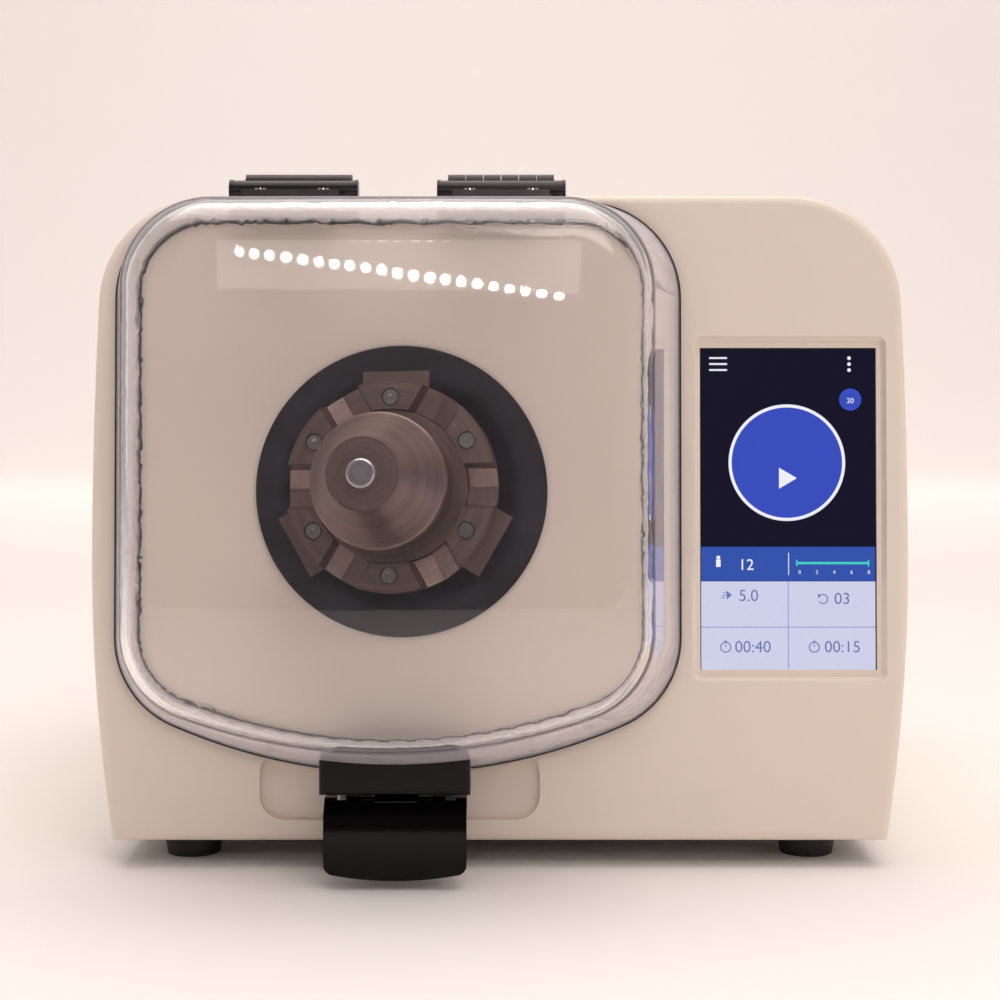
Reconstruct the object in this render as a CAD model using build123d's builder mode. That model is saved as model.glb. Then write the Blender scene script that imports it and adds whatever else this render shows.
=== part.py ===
from build123d import *
from math import atan, cos, degrees, pi, radians, sin, sqrt, tan
import os

os.makedirs("parts", exist_ok=True)

# Bead mill homogenizer, in millimetres. X runs to the right as a user sees it, the front looks
# towards -Y and Z is up. The origin is on the table under the middle of the machine.

# Body
floor_gap = 13.0
body_width = 397.0
body_foot_width = 375.0
body_shoulder_width = 385.0
body_height = 312.7
widest_height = 137.0
front_y = -148.0
rear_y = 254.0
lean = 4.3
corner_radius = 54.0
front_round = 5.0
rear_round = 4.0
wall = 4.0
plate_gap = 0.3

# Lid, in the leaning plane of the face: u across, v up from the foot of the face, n out of it
lid_u = -49.2
lid_half_width = 135.9
lid_top = 308.5
lid_bottom = 34.2
lid_bottom_arc = 270.0
lid_top_corner = 46.0
lid_bottom_corner = 46.0
lid_side_draft = 24.0
lid_top_draft = 16.0
lid_bottom_draft = 23.0
lid_corner_draft = 8.0
lid_depth = 115.0
lid_wall = 4.0
lid_edge_round = 24.0
lid_crown = 1500.0
seal_gap = 0.3
seal_height = 3.7
seal_lip = 0.8
seal_inner_lip = 1.5
seal_clearance = 1.5

# Hinges
hinge_spacing = 99.7
hinge_width = 52.5
hinge_bar_length = 58.5
hinge_set_back = 17.0
hinge_knuckle = 5.4
hinge_knuckle_count = 6
hinge_pin_radius = 2.0
hinge_lift = 0.8
hinge_bar_radius = 5.3
hinge_bar_forward = 8.0
hinge_bar_rise = 0.5
hinge_cap_radius = 5.7
hinge_cap_width = 1.6
hinge_leaf = 2.6
hinge_leaf_length = 26.0
hinge_arm = 4.2
hinge_foot_width = 46.0
hinge_foot_reach = 22.0
hinge_foot_rise = 2.6
hinge_foot_depth = 12.0
foot_screw_n = 18.0
foot_screw_spacing = 30.0
foot_screw_radius = 3.0
foot_screw_core = 1.6
foot_screw_length = 10.0
leaf_screw_spacing = 30.0
leaf_web = 2.0
head_height = 1.8
side_play = 0.3

# Latch
latch_u = -48.4
latch_block_width = 69.6
latch_block_back = 9.0
latch_block_front = 46.0
latch_block_bottom = 28.6
latch_block_height = 20.0
latch_edge = 2.5
pivot_n = 30.0
pivot_v = 22.0
pivot_radius = 2.5
lug_width = 6.0
lug_radius = 5.4
lug_offset = 20.0
lug_height = 8.0
lug_neck = 2.8
lever_width = 66.0
lever_top = 26.2
lever_bottom = -8.0
lever_sag = 3.5
lever_front = 42.0
lever_bevel = 7.0
lever_bulge = 0.5
lever_sweep = 2.3
lever_corner = 5.0
lever_plate = 6.0
lever_root = 1.0
lever_cheek = 5.0
lever_cheek_back = 24.0
lever_cheek_height = 14.0
arm_width = 20.0
arm_height = 4.5
arm_hub = 5.4
armature_back = 3.5
armature_width = 44.0
armature_height = 11.0
armature_thickness = 2.5
magnet_radius = 5.0
magnet_spacing = 26.0
magnet_gap = 0.3
holder_width = 58.0
holder_height = 13.0
holder_plate = 2.0
holder_screw_spacing = 48.0
holder_screw_radius = 2.2
recess_width = 135.3
recess_bottom = 10.6
recess_height = 34.0
recess_depth = 3.5
recess_corner = 12.0
switch_width = 20.0
switch_height = 16.0
switch_depth = 10.0

# Display
display_v = 161.0
display_width = 85.8
display_height = 156.6
surround_width = 94.2
surround_edge = 11.2
display_u = body_width / 2 - surround_edge - surround_width / 2
surround_height = 167.2
surround_depth = 3.5
surround_corner = 4.0
surround_slope = 30.0
glass_lip = 2.0
module_margin = 4.0
module_thickness = 7.0
board_thickness = 1.6
chip_size = 28.0
board_plug_width = 68.0
board_plug_height = 10.0
board_part_height = 3.0
standoff_radius = 2.5
standoff_height = 9.0
standoff_inset = 6.0

# Drive
boot_u = -47.4
boot_v = 169.2
boot_radius = 70.3
boot_flange = 2.5
boot_opening = 63.0
boot_lip = 3.0
boot_clearance = 0.3
boot_web = 2.0
boot_valley = 5.0
retainer_radius = 74.0
retainer_thickness = 4.0
tilt = 9.2
tilt_towards = 157.0
neck_radius = 26.0
neck_half_height = 12.0
hub_back = -15.0
hub_flange_radius = 24.0
hub_front = 14.5
hub_bearing_outer = 14.0
hub_bearing_width = 9.0
hub_bearing_gap = 8.0
journal_radius = 7.5
journal_end = 11.5
journal_shoulder = 10.0
shoulder_length = 12.0
fit = 0.05
shaft_radius = 12.0
shaft_front = -30.0
shaft_flange_radius = 22.0
shaft_flange = 6.0
shaft_back = -126.0
counterweight_radius = 34.0
counterweight_thickness = 12.0
counterweight_angle = -23.0
shaft_bearing_outer = 21.0
shaft_bearing_width = 12.0
bearing_housing_front = -54.0
bearing_housing_length = 60.0
bearing_housing_radius = 34.0
bearing_flange_radius = 46.0
bearing_flange = 12.0
bearing_lip = 3.0
frame_thickness = 10.0
frame_width = 130.0
frame_top = 64.0
frame_rail = 14.0
frame_rail_height = 22.0
frame_bore_gap = 4.0
coupling_radius = 18.0
coupling_start = -116.0
coupling_length = 32.0
motor_shaft_radius = 7.0
motor_front = -160.0
motor_length = 150.0
motor_radius = 48.0
motor_shaft_depth = 20.0
motor_bell_radius = 44.0
motor_bell_length = 18.0
motor_round = 6.0

# Tube carriage, measured along the inclined axis from the wobble centre
tab_plate = 3.0
tab_disc_radius = 49.5
tab_width = 32.0
tab_reach = 56.0
ring_thickness = 12.0
ring_outer = 50.2
ring_inner = 36.6
notch_width = 21.0
notch_foot_width = 17.0
notch_side_depth = 7.0
notch_ridge_depth = 9.5
ring_screw_circle = 42.0
ring_screw_radius = 3.6
ring_screw_well = 4.3
ring_screw_height = 4.0
ring_screw_hex = 1.7
ring_screw_core = 2.0
screw_fit = 0.1
stud_radius = 6.5
stud_end = 92.0
stud_chamfer = 0.8
stud_shoulder = 9.0
stud_shoulder_height = 2.0
plate_clearance = 0.4
pressure_disc = 6.0
pressure_neck = 20.0
knob_base = 50.0
knob_rim = 7.5
knob_rim_radius = 31.5
knob_front = 88.0
knob_front_radius = 16.6
knob_edge = 0.9
seat_gap = 0.3

# Base, rear and electrics
base_thickness = 3.0
foot_radius = 15.0
foot_top_radius = 13.0
foot_inset_x = 34.0
foot_inset_y = 36.0
rear_thickness = 2.0
rear_recess = 6.0
rear_screw_inset = 12.0
rear_screw_radius = 2.8
fan_x = -60.0
fan_z = 195.0
fan_size = 92.0
fan_depth = 25.0
fan_bore = 43.0
fan_hub = 18.0
fan_blade_radius = 41.0
fan_blade_count = 7
fan_blade_pitch = 38.0
fan_blade_thickness = 1.6
fan_blade_depth = 16.0
fan_axle = 2.0
fan_strut = 4.0
fan_plate = 3.0
guard_wire = 1.0
guard_ring_count = 4
vent_width = 60.0
vent_height = 4.0
vent_count = 8
vent_pitch = 9.0
vent_x = 95.0
vent_z = 190.0
inlet_x = 95.0
inlet_z = 62.0
inlet_flange_width = 50.0
inlet_flange_height = 28.0
inlet_flange = 2.5
inlet_body_width = 28.0
inlet_body_height = 22.0
inlet_body_depth = 26.0
socket_width = 24.6
socket_height = 16.6
socket_depth = 16.0
blade_width = 4.0
blade_thickness = 2.0
blade_length = 12.0
blade_spacing = 7.0
blade_offset = 2.0
rocker_z = 105.0
rocker_frame_width = 30.0
rocker_frame_height = 22.0
rocker_frame = 2.0
rocker_body_depth = 18.0
rocker_width = 21.0
rocker_height = 13.0
rocker_depth = 11.0
rocker_throw = 10.0
rocker_axle = 1.2
rocker_axle_length = 1.6
rocker_stand = 2.2
rocker_gap = 0.6
supply_x = 120.0
supply_y = 110.0
supply_width = 98.0
supply_length = 200.0
supply_height = 40.0
drive_board_width = 110.0
drive_board_length = 170.0
drive_board_x = -125.0
drive_board_y = 118.0
drive_board_lift = 8.0
heatsink_width = 50.0
heatsink_height = 35.0
heatsink_fins = 9
heatsink_fin = 1.8

# Mains lead
connector_width = 24.0
connector_height = 16.0
connector_nose = 15.0
connector_body_width = 27.0
connector_body_height = 19.0
connector_body_length = 27.0
relief_length = 24.0
relief_radius = 6.0
cord_diameter = 7.0
run_share = 0.45
coil_mean = 77.0
coil_columns = 2
coil_layers = 3
coil_edge = 3.0
coil_x = 18.0
coil_y = 330.0
plug_width = 38.0
plug_height = 24.0
plug_length = 42.0
plug_corner = 9.0
plug_pin_radius = 2.4
plug_pin_spacing = 19.0
plug_pin_length = 19.0

# Planes and places worked out from the sizes
face = Plane(
    origin=(0, front_y, floor_gap),
    x_dir=(1, 0, 0),
    z_dir=(0, -cos(radians(lean)), sin(radians(lean))),
)
front_plane = Plane(origin=(0, front_y, floor_gap), x_dir=(1, 0, 0), z_dir=(0, -1, 0))
body_top = floor_gap + body_height
base_top = floor_gap + base_thickness
top_edge_y = front_y + body_height * tan(radians(lean))
across = face.x_dir
up_face = face.y_dir
out_of_face = face.z_dir

wobble_centre = face.from_local_coords((boot_u, boot_v, 0))
drive_section = Plane(origin=wobble_centre, x_dir=across, z_dir=-up_face)
drive_plane = Plane(origin=wobble_centre, x_dir=across, z_dir=out_of_face)
drive_axis = Axis(wobble_centre, out_of_face)

tilt_direction = across * cos(radians(tilt_towards)) + up_face * sin(radians(tilt_towards))
tilt_hinge = Axis((0, 0, 0), out_of_face.cross(tilt_direction))
carriage_x = across.rotate(tilt_hinge, tilt)
carriage_out = out_of_face.rotate(tilt_hinge, tilt)
carriage_plane = Plane(origin=wobble_centre, x_dir=carriage_x, z_dir=carriage_out)
carriage_section = Plane(origin=wobble_centre, x_dir=carriage_x, z_dir=-carriage_plane.y_dir)
carriage_axis = Axis(wobble_centre, carriage_out)

ring_base = hub_front + tab_plate
ring_front = ring_base + ring_thickness


def body_outline():
    """Front outline of the body: sides that swell gently to the widest height, round shoulders."""
    with BuildSketch() as outline:
        with BuildLine():
            foot = (body_foot_width / 2, 0)
            widest = (body_width / 2, widest_height)
            shoulder = (body_shoulder_width / 2, body_height)
            Line((0, 0), foot)
            TangentArc(widest, foot, tangent=(0, -1))
            TangentArc(widest, shoulder, tangent=(0, 1))
            Line(shoulder, (0, body_height))
            mirror(about=Plane.YZ)
        make_face()
        fillet(outline.vertices().group_by(Axis.Y)[-1].filter_by(lambda v: abs(v.X) > 1), corner_radius)
    return outline.sketch


def lid_outline(draft, inset):
    """Outline of the lid, with a bowed bottom edge. The draft is 0 at its base and 1 at its front."""
    half = lid_half_width - lid_side_draft * draft
    top = lid_top - lid_top_draft * draft
    bottom = lid_bottom + lid_bottom_draft * draft
    corner = bottom + lid_bottom_arc - sqrt(lid_bottom_arc**2 - half**2)
    with BuildSketch() as outline:
        with BuildLine():
            Line((lid_u - half, corner), (lid_u - half, top))
            Line((lid_u - half, top), (lid_u + half, top))
            Line((lid_u + half, top), (lid_u + half, corner))
            ThreePointArc((lid_u + half, corner), (lid_u, bottom), (lid_u - half, corner))
        make_face()
        fillet(outline.vertices().group_by(Axis.Y)[-1], lid_top_corner - lid_corner_draft * draft)
        fillet(outline.vertices().group_by(Axis.Y)[0], lid_bottom_corner - lid_corner_draft * draft)
        if inset:
            offset(amount=-inset)
    return outline.sketch


def lid_form(inset):
    """The closed form of the lid, moved in by inset on every side but its base."""
    with BuildPart() as form:
        with BuildSketch(face.offset(seal_gap + seal_height)):
            add(lid_outline(0, inset))
        with BuildSketch(face.offset(lid_depth)):
            add(lid_outline(1, inset))
        loft(ruled=True)
        with Locations(face.from_local_coords((lid_u, (lid_top + lid_bottom) / 2, lid_depth - lid_crown))):
            Sphere(lid_crown - inset, mode=Mode.INTERSECT)
        edges = form.faces().sort_by(Axis(face.origin, face.z_dir))[-1].edges()
        fillet(edges, lid_edge_round - inset)
    return form.part


# Housing: a moulded hood, open at the bottom and the rear
with BuildPart() as hood_void:
    with BuildSketch(front_plane):
        add(body_outline())
        offset(amount=-wall)
        with Locations((0, wall)):
            Rectangle(body_foot_width - 2 * wall, 4 * wall)
    extrude(amount=-(rear_y - front_y))
    split(bisect_by=face.offset(-wall), keep=Keep.BOTTOM)

with BuildPart() as housing_shell:
    with BuildSketch(front_plane):
        add(body_outline())
    extrude(amount=-(rear_y - front_y))
    split(bisect_by=face, keep=Keep.BOTTOM)
    front = housing_shell.faces().sort_by(Axis(face.origin, face.z_dir))[-1]
    fillet(front.edges(), front_round)
    rear = housing_shell.faces().sort_by(Axis.Y)[-1]
    fillet(rear.edges().sort_by(Axis.Z)[1:], rear_round)
    add(hood_void.part, mode=Mode.SUBTRACT)
    # The latch recess and the display surround are sunk, with the wall carried round behind them
    with BuildSketch(face.offset(-wall)):
        with Locations((latch_u, recess_bottom + recess_height / 2)):
            Rectangle(recess_width + 2 * wall, recess_height)
        with Locations((display_u, display_v)):
            Rectangle(surround_width, surround_height)
    extrude(amount=-recess_depth)
    with BuildSketch(face):
        with Locations((latch_u, recess_bottom + recess_height / 2)):
            RectangleRounded(recess_width, recess_height, recess_corner)
        add(lid_outline(0, -seal_lip - seal_clearance), mode=Mode.SUBTRACT)
    extrude(amount=-recess_depth, mode=Mode.SUBTRACT)
    with BuildSketch(face):
        with Locations((display_u, display_v)):
            RectangleRounded(surround_width, surround_height, surround_corner)
    extrude(amount=-surround_depth, taper=surround_slope, mode=Mode.SUBTRACT)
    with BuildSketch(face):
        with Locations((display_u, display_v)):
            Rectangle(display_width, display_height)
        with Locations((boot_u, boot_v)):
            Circle(boot_opening)
    extrude(amount=-(wall + recess_depth), mode=Mode.SUBTRACT)
housing_shell.part.label = "housing_shell"
export_step(housing_shell.part, "parts/housing_shell.step")

# Display: the cover glass fills the opening, and the module lies behind it on the surround
with BuildPart() as display_glass:
    with BuildSketch(face.offset(-surround_depth - glass_lip / 2)):
        with Locations((display_u, display_v)):
            RectangleRounded(display_width - 2 * plate_gap, display_height - 2 * plate_gap, glass_lip / 2)
    extrude(amount=-(wall + recess_depth - surround_depth - glass_lip / 2))
display_glass.part.label = "display_glass"
export_step(display_glass.part, "parts/display_glass.step")

module_front = -(wall + recess_depth)
with BuildPart() as display_module:
    with BuildSketch(face.offset(module_front)):
        with Locations((display_u, display_v)):
            Rectangle(display_width + 2 * module_margin, display_height + 2 * module_margin)
    extrude(amount=-module_thickness)
display_module.part.label = "display_module"
export_step(display_module.part, "parts/display_module.step")

standoff_front = module_front - module_thickness
board_front = standoff_front - standoff_height
with BuildPart() as control_board:
    with BuildSketch(face.offset(board_front)):
        with Locations((display_u, display_v)):
            Rectangle(display_width, display_height)
    extrude(amount=-board_thickness)
    with BuildSketch(face.offset(board_front - board_thickness)):
        with Locations((display_u, display_v + display_height / 4)):
            Rectangle(chip_size, chip_size)
        with Locations((display_u, display_v - display_height / 4)):
            Rectangle(board_plug_width, board_plug_height)
    extrude(amount=-board_part_height)
control_board.part.label = "control_board"
export_step(control_board.part, "parts/control_board.step")

with BuildPart() as board_standoffs:
    with BuildSketch(face.offset(standoff_front)):
        with Locations((display_u, display_v)):
            with GridLocations(display_width - 2 * standoff_inset, display_height - 2 * standoff_inset, 2, 2):
                Circle(standoff_radius)
    extrude(amount=-standoff_height)
board_standoffs.part.label = "board_standoffs"
export_step(board_standoffs.part, "parts/board_standoffs.step")

# Drive boot: a rubber sheet that bridges the opening, with a lip close round the hub's neck
lip_radius = neck_radius + boot_clearance
valley_radius = (boot_opening + lip_radius) / 2
with BuildPart() as drive_boot:
    with BuildSketch(drive_section):
        with BuildLine():
            Polyline(
                (lip_radius, -boot_lip / 2),
                (lip_radius, boot_lip / 2),
                (lip_radius + 2 * boot_lip, boot_lip / 2),
            )
            Spline(
                (lip_radius + 2 * boot_lip, boot_lip / 2),
                (valley_radius, -boot_valley + boot_web),
                (boot_opening - boot_lip, boot_flange),
                tangents=((1, 0), (1, 0)),
            )
            Polyline(
                (boot_opening - boot_lip, boot_flange),
                (boot_radius, boot_flange),
                (boot_radius, 0),
                (boot_opening - plate_gap, 0),
                (boot_opening - plate_gap, -wall),
                (boot_opening - plate_gap - boot_web, -wall),
            )
            Spline(
                (boot_opening - plate_gap - boot_web, -wall),
                (valley_radius, -boot_valley - boot_web),
                (lip_radius + 2 * boot_lip, -boot_lip / 2),
                tangents=((-1, 0), (-1, 0)),
            )
            Line((lip_radius + 2 * boot_lip, -boot_lip / 2), (lip_radius, -boot_lip / 2))
        make_face()
    revolve(axis=drive_axis)
drive_boot.part.label = "drive_boot"
export_step(drive_boot.part, "parts/drive_boot.step")

with BuildPart() as boot_retainer:
    with BuildSketch(drive_plane.offset(-wall)):
        Circle(retainer_radius)
        Circle(boot_opening - boot_web, mode=Mode.SUBTRACT)
    extrude(amount=-retainer_thickness)
boot_retainer.part.label = "boot_retainer"
export_step(boot_retainer.part, "parts/boot_retainer.step")

# Wobble shaft: a straight shaft with an inclined journal, which crosses it at the wobble centre
with BuildPart() as wobble_shaft:
    with BuildSketch(drive_plane.offset(shaft_back)):
        Circle(shaft_radius)
    extrude(amount=shaft_front - shaft_back)
    with BuildSketch(drive_plane.offset(shaft_front - shaft_flange)):
        Circle(shaft_flange_radius)
    extrude(amount=shaft_flange)
    with BuildSketch(carriage_plane.offset(hub_back - shoulder_length)):
        Circle(journal_shoulder)
    extrude(amount=shoulder_length)
    with BuildSketch(carriage_plane.offset(shaft_front)):
        Circle(journal_radius)
    extrude(amount=journal_end - shaft_front)
wobble_shaft.part.label = "wobble_shaft"
export_step(wobble_shaft.part, "parts/wobble_shaft.step")

counterweight_front = shaft_front - shaft_flange
with BuildPart() as counterweight:
    with BuildSketch(drive_plane.offset(counterweight_front)):
        Circle(counterweight_radius)
        with Locations(Location((0, 0), counterweight_angle)):
            Rectangle(
                counterweight_radius,
                2 * counterweight_radius,
                align=(Align.MAX, Align.CENTER),
                mode=Mode.SUBTRACT,
            )
        Circle(shaft_radius + wall)
        Circle(shaft_radius, mode=Mode.SUBTRACT)
    extrude(amount=-counterweight_thickness)
counterweight.part.label = "counterweight"
export_step(counterweight.part, "parts/counterweight.step")

# Bearing housing with its two bearings, held in the drive frame
housing_back = bearing_housing_front - bearing_housing_length
with BuildPart() as bearing_housing:
    with BuildSketch(drive_plane.offset(housing_back)):
        Circle(bearing_housing_radius)
    extrude(amount=bearing_housing_length)
    with BuildSketch(drive_plane.offset(bearing_housing_front)):
        Circle(bearing_flange_radius)
    extrude(amount=-bearing_flange)
    with BuildSketch(drive_plane.offset(housing_back)):
        Circle(shaft_bearing_outer - bearing_lip)
    extrude(amount=bearing_housing_length, mode=Mode.SUBTRACT)
    with BuildSketch(drive_plane.offset(bearing_housing_front)):
        Circle(shaft_bearing_outer)
    extrude(amount=-shaft_bearing_width, mode=Mode.SUBTRACT)
    with BuildSketch(drive_plane.offset(housing_back)):
        Circle(shaft_bearing_outer)
    extrude(amount=shaft_bearing_width, mode=Mode.SUBTRACT)
bearing_housing.part.label = "bearing_housing"
export_step(bearing_housing.part, "parts/bearing_housing.step")

with BuildPart() as shaft_bearings:
    for start in (housing_back, bearing_housing_front - shaft_bearing_width):
        with BuildSketch(drive_plane.offset(start)):
            Circle(shaft_bearing_outer)
            Circle(shaft_radius + fit, mode=Mode.SUBTRACT)
        extrude(amount=shaft_bearing_width)
shaft_bearings.part.label = "shaft_bearings"
export_step(shaft_bearings.part, "parts/shaft_bearings.step")

plate_front = bearing_housing_front - bearing_flange
with BuildPart() as drive_frame:
    for start, bore in (
        (plate_front, bearing_housing_radius),
        (motor_front + frame_thickness, motor_shaft_radius + frame_bore_gap),
    ):
        with BuildSketch(drive_plane.offset(start)):
            with Locations((0, frame_top)):
                Rectangle(frame_width, 2 * boot_v, align=(Align.CENTER, Align.MAX))
            Circle(bore, mode=Mode.SUBTRACT)
        extrude(amount=-frame_thickness)
    with BuildSketch(drive_plane.offset(plate_front - frame_thickness)):
        with Locations((0, frame_rail_height + base_top - wobble_centre.Z)):
            with GridLocations(frame_width - frame_rail, 1, 2, 1):
                Rectangle(frame_rail, 2 * boot_v, align=(Align.CENTER, Align.MAX))
    extrude(amount=-(plate_front - frame_thickness - motor_front - frame_thickness))
    split(bisect_by=Plane.XY.offset(base_top), keep=Keep.TOP)
drive_frame.part.label = "drive_frame"
export_step(drive_frame.part, "parts/drive_frame.step")

with BuildPart() as shaft_coupling:
    with BuildSketch(drive_plane.offset(coupling_start)):
        Circle(coupling_radius)
    extrude(amount=-coupling_length)
    with BuildSketch(drive_plane.offset(coupling_start)):
        Circle(shaft_radius)
    extrude(amount=shaft_back - coupling_start, mode=Mode.SUBTRACT)
    with BuildSketch(drive_plane.offset(shaft_back)):
        Circle(motor_shaft_radius)
    extrude(amount=-coupling_length, mode=Mode.SUBTRACT)
shaft_coupling.part.label = "shaft_coupling"
export_step(shaft_coupling.part, "parts/shaft_coupling.step")

with BuildPart() as motor_shaft:
    with BuildSketch(drive_plane.offset(shaft_back)):
        Circle(motor_shaft_radius)
    extrude(amount=motor_front - shaft_back - motor_shaft_depth)
motor_shaft.part.label = "motor_shaft"
export_step(motor_shaft.part, "parts/motor_shaft.step")

with BuildPart() as motor_body:
    with BuildSketch(drive_plane.offset(motor_front)):
        Circle(motor_radius)
    extrude(amount=-motor_length)
    with BuildSketch(drive_plane.offset(motor_front - motor_length)):
        Circle(motor_bell_radius)
    extrude(amount=-motor_bell_length)
    fillet(motor_body.faces().sort_by(drive_axis)[0].edges(), motor_round)
    with BuildSketch(drive_plane.offset(motor_front)):
        Circle(motor_shaft_radius + fit)
    extrude(amount=-motor_shaft_depth - seat_gap, mode=Mode.SUBTRACT)
motor_body.part.label = "motor_body"
export_step(motor_body.part, "parts/motor_body.step")

# Carriage hub: a ball-shaped neck centred on the wobble centre, so its gap to the boot stays the same
neck_end = sqrt(neck_radius**2 - neck_half_height**2)
hub_wall_front = journal_end + seat_gap
with BuildPart() as carriage_hub:
    with BuildSketch(carriage_section):
        with BuildLine():
            Line((0, hub_back), (neck_end, hub_back))
            Line((neck_end, hub_back), (neck_end, -neck_half_height))
            ThreePointArc((neck_end, -neck_half_height), (neck_radius, 0), (neck_end, neck_half_height))
            Polyline(
                (neck_end, neck_half_height),
                (hub_flange_radius, neck_half_height),
                (hub_flange_radius, hub_front),
                (0, hub_front),
                (0, hub_back),
            )
        make_face()
    revolve(axis=carriage_axis)
    with BuildSketch(carriage_plane.offset(hub_back)):
        Circle(hub_bearing_outer)
    extrude(amount=hub_wall_front - hub_back, mode=Mode.SUBTRACT)
carriage_hub.part.label = "carriage_hub"
export_step(carriage_hub.part, "parts/carriage_hub.step")

with BuildPart() as hub_bearings:
    for start in (hub_back + seat_gap, hub_back + seat_gap + hub_bearing_width + hub_bearing_gap):
        with BuildSketch(carriage_plane.offset(start)):
            Circle(hub_bearing_outer)
            Circle(journal_radius + fit, mode=Mode.SUBTRACT)
        extrude(amount=hub_bearing_width)
hub_bearings.part.label = "hub_bearings"
export_step(hub_bearings.part, "parts/hub_bearings.step")

# Tube carriage: a disc with three tabs under a ring with six notches between six screwed pads
with BuildPart() as tab_disc:
    with BuildSketch(carriage_plane.offset(hub_front)):
        Circle(tab_disc_radius)
        with PolarLocations(0, 3, start_angle=90):
            Rectangle(tab_reach, tab_width, align=(Align.MIN, Align.CENTER))
        Circle(stud_radius, mode=Mode.SUBTRACT)
        with PolarLocations(ring_screw_circle, 6, start_angle=30):
            Circle(ring_screw_core, mode=Mode.SUBTRACT)
    extrude(amount=tab_plate)
tab_disc.part.label = "tab_disc"
export_step(tab_disc.part, "parts/tab_disc.step")

with BuildPart() as tube_ring:
    with BuildSketch(carriage_plane.offset(ring_base)):
        Circle(ring_outer)
        Circle(ring_inner, mode=Mode.SUBTRACT)
    extrude(amount=ring_thickness)
    for number in range(6):
        turn = radians(60 * number)
        along = carriage_plane.x_dir * cos(turn) + carriage_plane.y_dir * sin(turn)
        foot = carriage_plane.from_local_coords((0, 0, ring_front))
        with BuildSketch(Plane(origin=foot, x_dir=along.cross(carriage_out), z_dir=along)):
            with BuildLine():
                Polyline(
                    (-notch_width / 2, 0),
                    (-notch_foot_width / 2, notch_side_depth),
                    (0, notch_ridge_depth),
                    (notch_foot_width / 2, notch_side_depth),
                    (notch_width / 2, 0),
                    close=True,
                )
            make_face()
        extrude(amount=ring_outer + wall, mode=Mode.SUBTRACT)
    with BuildSketch(carriage_plane.offset(ring_front)):
        with PolarLocations(ring_screw_circle, 6, start_angle=30):
            Circle(ring_screw_well)
    extrude(amount=-ring_screw_height, mode=Mode.SUBTRACT)
    with BuildSketch(carriage_plane.offset(ring_front)):
        with PolarLocations(ring_screw_circle, 6, start_angle=30):
            Circle(ring_screw_core + screw_fit)
    extrude(amount=-ring_thickness, mode=Mode.SUBTRACT)
tube_ring.part.label = "tube_ring"
export_step(tube_ring.part, "parts/tube_ring.step")

with BuildPart() as ring_screws:
    with BuildSketch(carriage_plane.offset(ring_front)):
        with PolarLocations(ring_screw_circle, 6, start_angle=30):
            Circle(ring_screw_radius)
    extrude(amount=-ring_screw_height)
    with BuildSketch(carriage_plane.offset(ring_front)):
        with PolarLocations(ring_screw_circle, 6, start_angle=30):
            Circle(ring_screw_core)
    extrude(amount=-(ring_thickness + tab_plate))
    with BuildSketch(carriage_plane.offset(ring_front)):
        with PolarLocations(ring_screw_circle, 6, start_angle=30):
            RegularPolygon(ring_screw_hex, 6)
    extrude(amount=-ring_screw_height / 2, mode=Mode.SUBTRACT)
ring_screws.part.label = "ring_screws"
export_step(ring_screws.part, "parts/ring_screws.step")

with BuildPart() as carriage_stud:
    with BuildSketch(carriage_plane.offset(hub_front)):
        Circle(stud_radius)
    extrude(amount=stud_end - hub_front)
    chamfer(carriage_stud.faces().sort_by(carriage_axis)[-1].edges(), stud_chamfer)
    with BuildSketch(carriage_plane.offset(ring_base)):
        Circle(stud_shoulder)
    extrude(amount=stud_shoulder_height)
carriage_stud.part.label = "carriage_stud"
export_step(carriage_stud.part, "parts/carriage_stud.step")

# Clamp: the plate slides down the stud inside the ring as the knob is turned
plate_base = ring_base + stud_shoulder_height + seat_gap
with BuildPart() as pressure_plate:
    with BuildSketch(carriage_plane.offset(plate_base)):
        Circle(ring_inner - plate_clearance)
    extrude(amount=pressure_disc)
    with BuildSketch(carriage_plane.offset(plate_base + pressure_disc)):
        Circle(pressure_neck)
    extrude(amount=knob_base - seat_gap - plate_base - pressure_disc)
    with BuildSketch(carriage_plane.offset(plate_base)):
        Circle(stud_radius + fit)
    extrude(amount=knob_base - plate_base, mode=Mode.SUBTRACT)
pressure_plate.part.label = "pressure_plate"
export_step(pressure_plate.part, "parts/pressure_plate.step")

with BuildPart() as clamp_knob:
    with BuildSketch(carriage_section):
        with BuildLine():
            Polyline(
                (0, knob_base),
                (knob_rim_radius - knob_edge, knob_base),
                (knob_rim_radius, knob_base + knob_edge),
                (knob_rim_radius, knob_base + knob_rim - knob_edge),
                (knob_rim_radius - knob_edge, knob_base + knob_rim),
                (knob_front_radius, knob_front),
                (0, knob_front),
                close=True,
            )
        make_face()
    revolve(axis=carriage_axis)
    with BuildSketch(carriage_plane.offset(knob_base)):
        Circle(stud_radius + fit)
    extrude(amount=knob_front - knob_base, mode=Mode.SUBTRACT)
clamp_knob.part.label = "clamp_knob"
export_step(clamp_knob.part, "parts/clamp_knob.step")

# Lid: a clear moulded shell with drafted sides, a rounded front edge and a seal round its base
lid_body = lid_form(0)
lid_space = lid_form(lid_wall)
with BuildPart() as lid_seal:
    with BuildSketch(face.offset(seal_gap)):
        add(lid_outline(0, -seal_lip))
        add(lid_outline(0, lid_wall + seal_inner_lip), mode=Mode.SUBTRACT)
    extrude(amount=seal_height)
lid_seal.part.label = "lid_seal"
export_step(lid_seal.part, "parts/lid_seal.step")

# Hinges: on each, six knuckles turn on one pin, and a round bar with a foot carries the lid
hinge_y = top_edge_y + hinge_set_back
hinge_z = body_top + hinge_lift + hinge_knuckle
bar_y = top_edge_y - hinge_bar_forward
bar_z = body_top + hinge_bar_rise
knuckle = hinge_width / hinge_knuckle_count
arm_bottom = body_top + 2 * hinge_lift


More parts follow.
